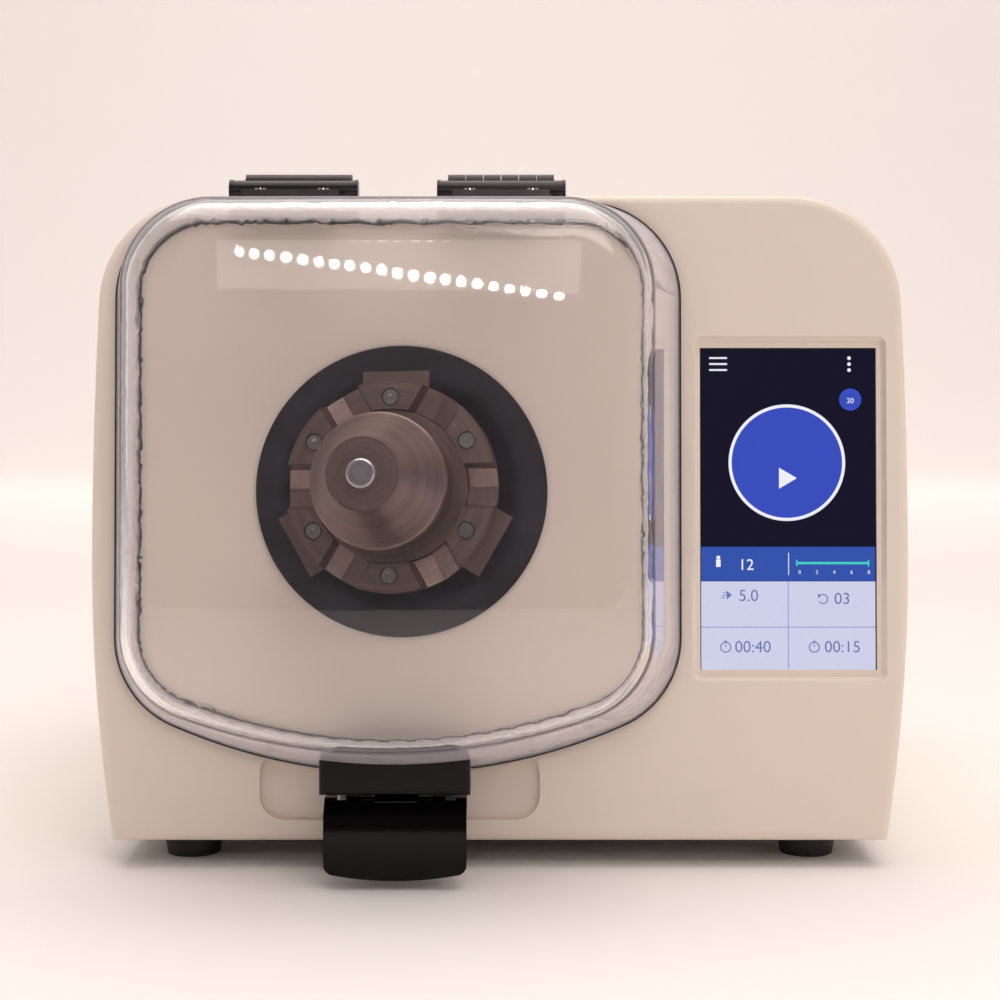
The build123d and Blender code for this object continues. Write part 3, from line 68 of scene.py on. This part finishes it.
# Materials
class Surface:
    """A node material with one Principled shader."""

    def __init__(self, name, colour, roughness=0.5, metallic=0.0):
        self.material = bpy.data.materials.new(name)
        self.material.use_nodes = True
        self.tree = self.material.node_tree
        self.shader = self.tree.nodes["Principled BSDF"]
        self.output = self.tree.nodes["Material Output"]
        self.shader.inputs["Base Color"].default_value = colour
        self.shader.inputs["Roughness"].default_value = roughness
        self.shader.inputs["Metallic"].default_value = metallic
        self.place = self.tree.nodes.new("ShaderNodeTexCoord").outputs["Object"]
        self.normal = None

    def node(self, kind, **inputs):
        made = self.tree.nodes.new(kind)
        for name, value in inputs.items():
            self.plug(made.inputs[name.replace("_", " ")], value)
        return made

    def plug(self, socket, value):
        if isinstance(value, bpy.types.NodeSocket):
            self.tree.links.new(value, socket)
        else:
            socket.default_value = value

    def noise(self, scale, detail=3.0, roughness=0.6, stretch=None):
        place = self.place
        if stretch:
            mapping = self.node("ShaderNodeMapping", Vector=place)
            mapping.inputs["Scale"].default_value = stretch
            place = mapping.outputs["Vector"]
        made = self.node("ShaderNodeTexNoise", Vector=place, Scale=scale, Detail=detail, Roughness=roughness)
        return made.outputs["Fac"]

    def span(self, value, low, high, source=(0.3, 0.7)):
        made = self.node("ShaderNodeMapRange", Value=value)
        for name, number in zip(("From Min", "From Max", "To Min", "To Max"), (*source, low, high)):
            made.inputs[name].default_value = number
        return made.outputs["Result"]

    def blend(self, factor, first, second):
        made = self.tree.nodes.new("ShaderNodeMix")
        made.data_type = "RGBA"
        self.plug(made.inputs[0], factor)
        self.plug(made.inputs[6], first)
        self.plug(made.inputs[7], second)
        return made.outputs[2]

    def math(self, operation, *values):
        made = self.tree.nodes.new("ShaderNodeMath")
        made.operation = operation
        for socket, value in zip(made.inputs, values):
            self.plug(socket, value)
        return made.outputs[0]

    def vector(self, operation, *values):
        made = self.tree.nodes.new("ShaderNodeVectorMath")
        made.operation = operation
        for socket, value in zip(made.inputs, values):
            self.plug(socket, value)
        return made.outputs["Value" if operation in ("DOT_PRODUCT", "LENGTH") else "Vector"]

    def mix(self, factor, first, second):
        """A shader between those of two nodes."""
        made = self.tree.nodes.new("ShaderNodeMixShader")
        self.plug(made.inputs[0], factor)
        self.plug(made.inputs[1], first.outputs[0])
        self.plug(made.inputs[2], second.outputs[0])
        return made

    def bump(self, height, strength, distance):
        made = self.node("ShaderNodeBump", Height=height, Strength=strength, Distance=distance)
        if self.normal:
            self.plug(made.inputs["Normal"], self.normal)
        self.normal = made.outputs["Normal"]
        self.plug(self.shader.inputs["Normal"], self.normal)

    def set(self, **inputs):
        for name, value in inputs.items():
            self.plug(self.shader.inputs[name.replace("_", " ")], value)
        return self


def moulded(name, colour, roughness, grain=2600, depth=0.00003, tint=0.035):
    """Moulded plastic or paint: a fine grain, a slow change of tone and of gloss."""
    made = Surface(name, colour, roughness)
    slow = made.noise(9.0, 4.0)
    darker = tuple(c * (1 - 2 * tint) for c in colour[:3]) + (1,)
    lighter = tuple(min(1, c * (1 + tint)) for c in colour[:3]) + (1,)
    made.set(Base_Color=made.blend(made.span(slow, 0, 1), darker, lighter))
    made.set(Roughness=made.span(made.noise(60, 3), roughness * 0.9, roughness * 1.1))
    made.bump(made.noise(grain, 2), 0.25, depth)
    return made


def turned(name, colour, roughness, centre, axis, metallic=1.0, rings=5200, depth=0.000012, painted_sheen_spread=0.12):
    """Turned metal: fine rings about an axis, with a painted reflection of light and dark streaks round it
    in the colour.
    """
    made = Surface(name, colour, roughness, metallic)
    rel = made.vector("SUBTRACT", made.place, tuple(centre))
    along = made.vector("DOT_PRODUCT", rel, tuple(axis))
    distance_squared = made.math("POWER", made.vector("LENGTH", rel), 2.0)
    along_squared = made.math("POWER", along, 2.0)
    radial = made.math("SQRT", made.math("SUBTRACT", distance_squared, along_squared))
    pair = made.node("ShaderNodeCombineXYZ", X=radial, Y=along, Z=0.0).outputs["Vector"]
    wave = made.node("ShaderNodeTexNoise", Vector=pair, Scale=rings, Detail=2.0).outputs["Fac"]
    made.bump(wave, 0.3, depth)
    # Painted reflection: rings of lighter and darker colour round the axis stand in for the streaked
    # reflection of the turned finish
    reflection_streaks = made.node("ShaderNodeTexNoise", Vector=pair, Scale=rings / 12, Detail=3.0).outputs["Fac"]
    low = tuple(c * (1 - painted_sheen_spread) for c in colour[:3]) + (1,)
    high = tuple(min(1, c * (1 + painted_sheen_spread)) for c in colour[:3]) + (1,)
    made.set(Base_Color=made.blend(made.span(reflection_streaks, 0, 1), low, high))
    made.set(Roughness=made.span(wave, roughness * 0.85, roughness * 1.15))
    return made


def lit(name, colour, strength=1.0):
    """A lit part of the display, under its polished cover."""
    made = Surface(name, (0.002, 0.002, 0.004, 1), 0.12)
    flicker = made.noise(900, 1)
    low = tuple(c * 0.97 for c in colour[:3]) + (1,)
    made.set(Emission_Color=made.blend(made.span(flicker, 0, 1), low, colour))
    made.shader.inputs["Emission Strength"].default_value = strength
    return made


def boot_material():
    """Dark rubber, with streaks of painted reflection in its colour and streaks of gloss."""
    made = Surface("boot_rubber", linear(24, 22, 28), 0.42)
    made.set(Specular_IOR_Level=0.3)
    sheen_streaks = made.noise(38, 5, 0.7, stretch=(1.0, 1.0, 2.4))
    # Painted reflection: the lighter streaks in the colour stand in for the wavy highlights on the rubber;
    # the same streaks also vary its roughness, which is real gloss
    made.set(Base_Color=made.blend(made.span(sheen_streaks, 0, 1), linear(18, 16, 22), linear(44, 40, 50)))
    made.set(Roughness=made.span(sheen_streaks, 0.28, 0.5))
    made.bump(made.noise(420, 3), 0.3, 0.0002)
    return made


def clear_material():
    """Clear moulding that lets light through to what stands inside, a little milky where seen edge-on."""
    made = Surface("clear_lid", (0.975, 0.968, 0.972, 1), 0.02)
    made.set(Transmission_Weight=1.0, IOR=1.47)
    made.bump(made.noise(14, 2), 0.05, 0.0012)
    made.set(Roughness=made.span(made.noise(70, 4), 0.008, 0.03))
    edge = made.node("ShaderNodeLayerWeight", Blend=0.35).outputs["Facing"]
    haze = made.node("ShaderNodeBsdfDiffuse", Color=linear(240, 234, 250))
    milky = made.mix(made.span(edge, 0.008, 0.34, source=(0.30, 0.95)), made.shader, haze)
    through = made.node("ShaderNodeBsdfTransparent", Color=(0.93, 0.92, 0.925, 1))
    paths = made.tree.nodes.new("ShaderNodeLightPath").outputs
    either = made.math("MAXIMUM", paths["Is Shadow Ray"], paths["Is Diffuse Ray"])
    made.plug(made.output.inputs["Surface"], made.mix(either, milky, through).outputs[0])
    return made


cream = moulded("cream_moulding", linear(240, 227, 215), 0.42, grain=1500, depth=0.00006, tint=0.012)
cream.set(Coat_Weight=0.08, Coat_Roughness=0.25, Specular_IOR_Level=0.4)

black_gloss = moulded("black_gloss", linear(10, 8, 9), 0.12, grain=900, depth=0.00001)
black_gloss.set(Specular_IOR_Level=0.16, Coat_Weight=0.05, Coat_Roughness=0.04)
black_metal = moulded("black_hinge_metal", linear(48, 45, 46), 0.24, grain=2400, depth=0.00002)
black_metal.set(Metallic=0.6)
black_plastic = moulded("black_fine_plastic", linear(34, 33, 34), 0.45)
cord_rubber = moulded("cord_rubber", linear(26, 25, 26), 0.42, grain=1800, depth=0.00003)
foot_rubber = moulded("foot_rubber", linear(38, 36, 37), 0.62)
seal_rubber = moulded("seal_rubber", linear(24, 23, 26), 0.35)
sheet = moulded("powder_coat", linear(190, 186, 182), 0.5, grain=1100, depth=0.0001)
motor_paint = moulded("motor_enamel", linear(48, 48, 52), 0.4)
board_green = moulded("board_green", linear(24, 92, 58), 0.35)
module_black = moulded("module_black", linear(30, 30, 36), 0.5)
aluminium = turned("milled_aluminium", linear(200, 200, 203), 0.32, WOBBLE, OUT, painted_sheen_spread=0.06)
steel = turned("turned_steel", linear(172, 172, 176), 0.26, WOBBLE, OUT, painted_sheen_spread=0.08)
plated = moulded("bright_plated", linear(205, 203, 203), 0.16, grain=3000, depth=0.000006)
plated.set(Metallic=1.0)
anodised = turned(
    "dark_anodised", linear(128, 108, 104), 0.30, WOBBLE, CARRIAGE_OUT, metallic=0.8, painted_sheen_spread=0.16,
)
stud_steel = turned("stud_steel", linear(196, 190, 200), 0.25, WOBBLE, CARRIAGE_OUT, painted_sheen_spread=0.1)

boot_rubber = boot_material()
clear = clear_material()

screen_dark = lit("screen_dark", linear(15, 13, 35))
screen_blue = lit("screen_blue", linear(56, 77, 188))
screen_band = lit("screen_band", linear(50, 82, 172))
screen_pale = lit("screen_pale", linear(207, 209, 234))
screen_line = lit("screen_line", linear(150, 155, 205))
screen_white = lit("screen_white", linear(240, 240, 250))
screen_teal = lit("screen_teal", linear(72, 205, 200))
screen_ink = lit("screen_ink", linear(112, 120, 178))

looks = {
    "housing_shell": cream, "display_glass": screen_dark, "display_module": module_black,
    "control_board": board_green, "board_standoffs": aluminium, "drive_boot": boot_rubber,
    "boot_retainer": aluminium, "wobble_shaft": steel, "counterweight": steel,
    "bearing_housing": aluminium, "shaft_bearings": steel, "drive_frame": aluminium,
    "shaft_coupling": aluminium, "motor_shaft": steel, "motor_body": motor_paint,
    "carriage_hub": anodised, "hub_bearings": steel, "tab_disc": anodised, "tube_ring": anodised,
    "ring_screws": plated, "carriage_stud": stud_steel, "pressure_plate": anodised,
    "clamp_knob": anodised, "lid_dome": clear, "lid_seal": seal_rubber,
    "hinge_leaf_fixed_left": black_metal, "hinge_leaf_fixed_right": black_metal,
    "hinge_leaf_moving_left": black_metal, "hinge_leaf_moving_right": black_metal,
    "hinge_pin_left": steel, "hinge_pin_right": steel, "hinge_caps": black_metal,
    "hinge_leaf_screws": black_metal, "hinge_foot_screws": plated, "latch_block": black_gloss,
    "latch_lever": black_gloss, "latch_pin": steel, "magnet_holder": steel, "latch_magnets": plated,
    "holder_screws": plated, "lid_switch": black_plastic, "base_plate": sheet,
    "rubber_feet": foot_rubber, "rear_panel": sheet, "rear_screws": plated, "fan_frame": black_plastic,
    "fan_rotor": black_plastic, "fan_guard": plated, "mains_inlet": black_plastic,
    "switch_frame": black_plastic, "switch_rocker": black_plastic, "power_supply": sheet,
    "motor_drive": aluminium, "mains_connector": cord_rubber, "mains_plug": cord_rubber,
}
for node, surface in looks.items():
    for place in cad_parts[node].material_slots:
        place.material = surface.material


# Pieces
def piece(name, mesh, surface, body):
    """Adds a mesh as a piece that rides on a body."""
    thing = bpy.data.objects.new(name, mesh)
    bpy.context.scene.collection.objects.link(thing)
    mesh.materials.append(surface.material)
    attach(thing, body)
    return thing


class Plates:
    """Flat raised shapes on the display, gathered into one mesh."""

    def __init__(self, depth, height):
        self.form = bmesh.new()
        self.depth, self.height = depth, height

    def shape(self, points):
        """A raised outline, given in order against the clock in face millimetres."""
        low = [self.form.verts.new(on_face(u, v, self.depth)) for u, v in points]
        high = [self.form.verts.new(on_face(u, v, self.depth + self.height)) for u, v in points]
        self.form.faces.new(high)
        count = len(points)
        for i in range(count):
            j = (i + 1) % count
            self.form.faces.new((low[i], low[j], high[j], high[i]))

    def bar(self, u0, v0, u1, v1):
        self.shape([(u0, v0), (u1, v0), (u1, v1), (u0, v1)])

    def disc(self, u, v, radius, steps=64):
        turns = [2 * pi * i / steps for i in range(steps)]
        self.shape([(u + radius * cos(turn), v + radius * sin(turn)) for turn in turns])

    def arc(self, u, v, radius, width, start, end, steps=24):
        for i in range(steps):
            a, b = (radians(start + (end - start) * k / steps) for k in (i, i + 1))
            inner, outer = radius - width / 2, radius + width / 2
            self.shape([
                (u + inner * cos(a), v + inner * sin(a)), (u + outer * cos(a), v + outer * sin(a)),
                (u + outer * cos(b), v + outer * sin(b)), (u + inner * cos(b), v + inner * sin(b)),
            ])

    def done(self, name, surface):
        mesh = bpy.data.meshes.new(name)
        bmesh.ops.recalc_face_normals(self.form, faces=self.form.faces)
        self.form.to_mesh(mesh)
        self.form.free()
        return piece(name, mesh, surface, "housing")


def numeral(name, text, u, v, size, surface, depth, centred=False):
    """Plain numerals on the display, as a mesh."""
    words = bpy.data.curves.new(name, "FONT")
    words.body = text
    words.size = size / 1000
    words.extrude = 0.00001
    words.align_x = "CENTER" if centred else "LEFT"
    made = bpy.data.objects.new(name, words)
    bpy.context.scene.collection.objects.link(made)
    bpy.context.view_layer.update()
    mesh = bpy.data.meshes.new_from_object(made.evaluated_get(bpy.context.evaluated_depsgraph_get()))
    bpy.data.objects.remove(made)
    grid = Matrix((ACROSS, UP_FACE, OUT)).transposed().to_4x4()
    grid.translation = on_face(u, v, depth)
    mesh.transform(grid)
    mesh.materials.clear()
    return piece(name, mesh, surface, "housing")


# The display's glass, and the grid of 178 by 322 steps that its picture is laid out on
GLASS_FRONT = -4.5
SCREEN_LEFT, SCREEN_TOP = 97.6, 239.0
STEP_ACROSS, STEP_DOWN = 0.4837, 0.4879
ON_GLASS, ON_BAND, ON_DISC, ON_BLUE = (GLASS_FRONT + rise for rise in (0.02, 0.08, 0.09, 0.14))
TEXT_ON_BAND, TEXT_ON_DISC = GLASS_FRONT + 0.09, GLASS_FRONT + 0.15


def screen_uv(x, y):
    """Place on the display in face millimetres, from its left edge and its top in steps of the grid."""
    return SCREEN_LEFT + x * STEP_ACROSS, SCREEN_TOP - y * STEP_DOWN


def screen_bar(plates, x0, y0, x1, y1):
    u0, v1 = screen_uv(x0, y0)
    u1, v0 = screen_uv(x1, y1)
    plates.bar(u0, v0, u1, v1)


band = Plates(ON_GLASS, 0.05)
screen_bar(band, 0.5, 198, 175.5, 232)
band.done("screen_band", screen_band)
cells = Plates(ON_GLASS, 0.05)
for x0, x1 in ((0.5, 87.5), (88.5, 175.5)):
    for y0, y1 in ((232.5, 277.5), (278.5, 321)):
        screen_bar(cells, x0, y0, x1, y1)
cells.done("screen_cells", screen_pale)
lines = Plates(ON_GLASS, 0.03)
screen_bar(lines, 87.5, 232.5, 88.5, 321)
screen_bar(lines, 0.5, 277.5, 175.5, 278.5)
lines.done("screen_lines", screen_line)

white = Plates(ON_GLASS, 0.06)
for y in (8.5, 14.5, 20.5):
    screen_bar(white, 9, y, 27, y + 1.8)
    u, v = screen_uv(150, y + 1)
    white.disc(u, v, 0.9, 16)
u, v = screen_uv(87, 114)
white.disc(u, v, 28.4, 96)
screen_bar(white, 88, 204, 88.8, 226)
white.done("screen_marks", screen_white)

blue = Plates(ON_DISC, 0.04)
blue.disc(u, v, 26.9, 96)
u, v = screen_uv(151, 51)
blue.disc(u, v, 5.4, 40)
blue.done("screen_discs", screen_blue)

arrow = Plates(ON_BLUE, 0.03)
arrow.shape([screen_uv(79, 140), screen_uv(97, 129.5), screen_uv(79, 119)])
arrow.done("screen_arrow", screen_white)

on_band = Plates(ON_BAND, 0.04)
screen_bar(on_band, 16, 207, 19.5, 210)
screen_bar(on_band, 15.5, 210.5, 20, 218)
on_band.done("screen_tube", screen_white)
slider = Plates(ON_BAND, 0.04)
screen_bar(slider, 97, 213, 168, 215.4)
screen_bar(slider, 96, 211, 97.2, 217.4)
screen_bar(slider, 168, 211, 169.5, 217.4)
slider.done("screen_slider", screen_teal)

ink = Plates(ON_BAND, 0.04)
for x, y in ((25, 298), (114, 298)):
    u, v = screen_uv(x, y)
    ink.arc(u, v, 2.4, 0.55, 0, 360, 28)
    ink.shape([(u - 0.2, v), (u + 0.2, v), (u + 0.2, v + 1.6), (u - 0.2, v + 1.6)])
    ink.bar(u - 0.7, v + 2.7, u + 0.7, v + 3.2)
u, v = screen_uv(123, 250)
ink.arc(u, v, 2.2, 0.55, -150, 130, 26)
ink.shape([(u - 2.7, v + 2.6), (u - 2.4, v + 0.4), (u - 0.6, v + 1.9)])
u, v = screen_uv(26, 246)
for k in range(3):
    ink.bar(u - 2.6 + k * 0.4, v - 1.6 + k * 1.2, u - 0.8 + k * 0.4, v - 1.2 + k * 1.2)
ink.shape([(u, v - 2.2), (u + 2.6, v), (u, v + 2.2)])
ink.done("screen_icons", screen_ink)

for name, text, x, y, size, surface, depth, centred in (
    ("numeral_disc", "20", 151, 54.5, 3.6, screen_white, TEXT_ON_DISC, True),
    ("numeral_band", "12", 38, 221, 7.6, screen_white, TEXT_ON_BAND, False),
    ("numeral_speed", "5.0", 38, 252, 8.0, screen_ink, TEXT_ON_BAND, False),
    ("numeral_count", "03", 134, 255, 8.0, screen_ink, TEXT_ON_BAND, False),
    ("numeral_time", "00:40", 34, 303, 8.0, screen_ink, TEXT_ON_BAND, False),
    ("numeral_pause", "00:15", 124, 303, 8.0, screen_ink, TEXT_ON_BAND, False),
):
    u, v = screen_uv(x, y)
    numeral(name, text, u, v, size, surface, depth, centred)
for i in range(5):
    u, v = screen_uv(99.5 + 17.4 * i, 225)
    numeral(f"numeral_tick_{i}", str(2 * i), u, v, 2.6, screen_white, TEXT_ON_BAND, True)

# Mains lead: the route's own points, the coil's turns and the tail, as one smooth line
lead = [
    (95.0, 301.5, 62.0), (95.0, 319.5, 62.0), (95.0, 336.2, 55.3), (93.1, 349.4, 43.3), (87.5, 360.0, 29.9),
    (77.2, 368.6, 17.9), (62.1, 374.7, 10.3), (45.4, 375.9, 3.5), (27.5, 374.3, 3.5), (18.0, 372.0, 3.5),
]
tail = [
    (-24.0, 330.0, 10.5), (-24.0, 314.0, 10.5), (-29.3, 299.6, 11.0), (-41.0, 288.2, 11.6),
    (-56.0, 282.0, 11.9), (-71.5, 281.0, 12.0), (-86.0, 281.0, 12.0), (-101.8, 281.0, 12.0),
    (-112.0, 281.0, 12.0),
]
COIL = (18.0, 330.0)
OUTER, INNER, LAYER, STEP = 42.0, 35.0, 7.0, 20
START, END = 90, 1980
BETWEEN_CHANGES, EASED_OVER = 320, 4 * STEP
CORD_RADIUS = 3.5


def coil_points():
    """Five turns and a quarter. Each change of column or layer comes before the last one, to pass clear."""
    columns = [(OUTER, 0), (INNER, 0), (INNER, 1), (INNER, 2), (OUTER, 2), (OUTER, 1)]
    changes = [START + BETWEEN_CHANGES * (i + 1) for i in range(5)]
    points = []
    for angle in range(START + STEP, END, STEP):
        r, layer = columns[0]
        for change, (next_r, next_layer) in zip(changes, columns[1:]):
            share = min(1, max(0, 0.5 + (angle - change) / EASED_OVER))
            share = share * share * (3 - 2 * share)
            r += (next_r - r) * share
            layer += (next_layer - layer) * share
        turn = radians(angle)
        points.append((COIL[0] + r * cos(turn), COIL[1] + r * sin(turn), CORD_RADIUS + LAYER * layer))
    return points


route = lead + coil_points() + tail
line = bpy.data.curves.new("mains_lead", "CURVE")
line.dimensions = "3D"
line.bevel_depth = CORD_RADIUS / 1000
line.bevel_resolution = 6
line.resolution_u = 6
line.use_fill_caps = True
spline = line.splines.new("NURBS")
spline.points.add(len(route) - 1)
for point, place in zip(spline.points, route):
    point.co = (*(value / 1000 for value in place), 1)
spline.order_u = 3
spline.use_endpoint_u = True
mains_lead = bpy.data.objects.new("mains_lead", line)
bpy.context.scene.collection.objects.link(mains_lead)
line.materials.append(cord_rubber.material)
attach(mains_lead, "housing")
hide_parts("power_cord", "power_cord_coil", "power_cord_tail")

# Stage: one sheet, the floor running far back and rising into the backdrop
stage = bmesh.new()
section = [(-4.0, 0.0), (3.0, 0.0), (5.0, 0.0)]
section += [(5.0 + 2.0 * sin(radians(a)), 2.0 - 2.0 * cos(radians(a))) for a in range(10, 91, 10)]
section += [(7.0, 7.0)]
rows = [[stage.verts.new((x, y, z)) for x in (-9.0, 9.0)] for y, z in section]
for first, second in zip(rows, rows[1:]):
    stage.faces.new((first[0], first[1], second[1], second[0]))
sweep_mesh = bpy.data.meshes.new("studio_sweep")
stage.to_mesh(sweep_mesh)
stage.free()
for face in sweep_mesh.polygons:
    face.use_smooth = True
sweep = bpy.data.objects.new("studio_sweep", sweep_mesh)
bpy.context.scene.collection.objects.link(sweep)
paper = Surface("studio_paper", linear(254, 250, 248), 0.7)
tone = paper.span(paper.noise(0.6, 2), 0, 1)
paper.set(Base_Color=paper.blend(tone, linear(253, 248, 245), linear(254, 251, 249)))
# What the camera sees of the paper is lifted towards white, and the light it throws is not
seen = paper.tree.nodes.new("ShaderNodeLightPath").outputs["Is Camera Ray"]
far = paper.node("ShaderNodeSeparateXYZ", Vector=paper.place).outputs["Y"]
lift = paper.span(far, 0.0, 0.41, source=(0.3, 3.5))
paper.set(Emission_Color=linear(255, 238, 230), Emission_Strength=paper.math("MULTIPLY", seen, lift))
sweep_mesh.materials.append(paper.material)

# Light
world = bpy.data.worlds.new("studio")
bpy.context.scene.world = world
world.use_nodes = True
backdrop = world.node_tree.nodes["Background"]
backdrop.inputs["Color"].default_value = linear(255, 247, 243)
# The room behind the camera is dim, so that black and clear pieces stay dark in front
sky = world.node_tree.nodes
direction = sky.new("ShaderNodeSeparateXYZ")
world.node_tree.links.new(sky.new("ShaderNodeTexCoord").outputs["Generated"], direction.inputs[0])
dimming = sky.new("ShaderNodeMapRange")
for name, number in (("From Min", -0.9), ("From Max", 0.1), ("To Min", 0.08), ("To Max", 0.70)):
    dimming.inputs[name].default_value = number
world.node_tree.links.new(direction.outputs["Y"], dimming.inputs["Value"])
world.node_tree.links.new(dimming.outputs["Result"], backdrop.inputs["Strength"])


def area(name, place, target, size, power, colour=(255, 245, 238), shape="RECTANGLE"):
    lamp = bpy.data.lights.new(name, "AREA")
    lamp.shape = shape
    lamp.size, lamp.size_y = size
    lamp.energy = power
    lamp.color = linear(*colour)[:3]
    made = bpy.data.objects.new(name, lamp)
    bpy.context.scene.collection.objects.link(made)
    made.location = place
    made.rotation_euler = (Vector(target) - Vector(place)).to_track_quat("-Z", "Y").to_euler()


area("top_softbox", (0.1, 0.1, 2.1), (0, 0, 0.2), (2.6, 2.0), 33)
area("front_fill", (0.9, -2.2, 2.2), (0.0, 0.0, 0.1), (1.6, 1.0), 16)
# A row of small lamps, which shows as a dotted strip across the top of the lid
STRIP_LAMPS, LID_TOP = 21, (-0.05, -0.26, 0.27)
for i in range(STRIP_LAMPS):
    share = i / (STRIP_LAMPS - 1)
    place = (-0.47 + 0.70 * share, -1.763, 0.85 - 0.09 * share)
    area(f"strip_lamp_{i}", place, LID_TOP, (0.021, 0.017), 0.03 + 0.05 * share, shape="ELLIPSE")
area("strip_glow", (-0.12, -1.78, 0.83), LID_TOP, (0.80, 0.10), 0.35)
area("back_wash", (0.0, 2.2, 2.6), (0.0, 5.5, 1.2), (4.0, 1.0), 40)

# Camera, in front of the machine and looking slightly down
FOCAL_LENGTH, EYE_DISTANCE, EYE_HEIGHT, LOOKING_DOWN = 66.9, 0.8864, 0.2263, 3.1
camera_data = bpy.data.cameras.new("camera")
camera_data.lens = FOCAL_LENGTH
camera_data.sensor_width = 36
camera = bpy.data.objects.new("camera", camera_data)
bpy.context.scene.collection.objects.link(camera)
camera.location = (0, FRONT_Y - EYE_DISTANCE, EYE_HEIGHT)
camera.rotation_euler = (radians(90 - LOOKING_DOWN), 0, 0)
camera_data.clip_start, camera_data.clip_end = 0.05, 60
bpy.context.scene.camera = camera

bpy.context.scene.view_settings.view_transform = "Standard"
